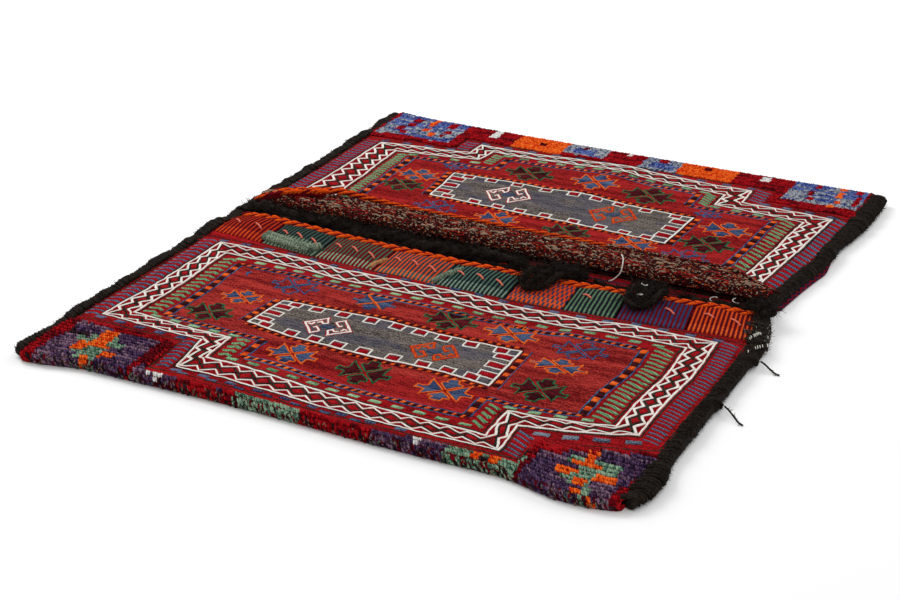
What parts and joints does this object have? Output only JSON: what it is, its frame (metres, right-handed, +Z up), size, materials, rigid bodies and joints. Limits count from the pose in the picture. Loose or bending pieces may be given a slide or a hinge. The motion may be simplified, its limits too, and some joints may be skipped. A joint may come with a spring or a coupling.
{
  "type": "kilim saddle bag",
  "caption": "Double saddle bag of woven kilim, lying flat and empty: two pouches on a short bridge, slit tabs at the mouths, goat-hair seams and closing loops.",
  "frame": {"origin": "centre of the bag's footprint, on the floor it lies on", "axes": "+Z up from the floor; +Y along the bag, from the near pouch with its flat tabs to the far pouch with its turned-out tabs; +X across the bag to the right"},
  "size_m": [1.0977, 1.2666, 0.046],
  "materials": {
    "woven_wool": "matt weft-faced wool weave, red with bands and motifs in white, blue, green and orange, knotted pile at the bottoms",
    "goat_hair": "coarse black-brown goat hair, matt and bristly",
    "orange_cord": "chained wool cord, orange and dark red",
    "mending_thread": "loose grey and white mending yarn",
    "white_thread": "off-white cotton thread"
  },
  "bodies": {
    "root": {"woven_cloth": "woven_wool", "near_binding_left": "goat_hair", "near_binding_right": "goat_hair", "far_binding_left": "goat_hair", "far_binding_right": "goat_hair", "near_edge_cord": "orange_cord", "far_edge_cord": "orange_cord", "closing_loop_1": "goat_hair", "closing_loop_2": "goat_hair", "closing_loop_3": "goat_hair", "closing_loop_4": "goat_hair", "closing_loop_5": "goat_hair", "tongue_loop": "goat_hair", "side_loop": "goat_hair", "middle_strand": "goat_hair", "right_strand": "goat_hair", "mend_thread": "mending_thread", "upper_thread_tail": "goat_hair", "lower_thread_tail": "goat_hair", "white_thread": "white_thread"}
  },
  "joints": []
}
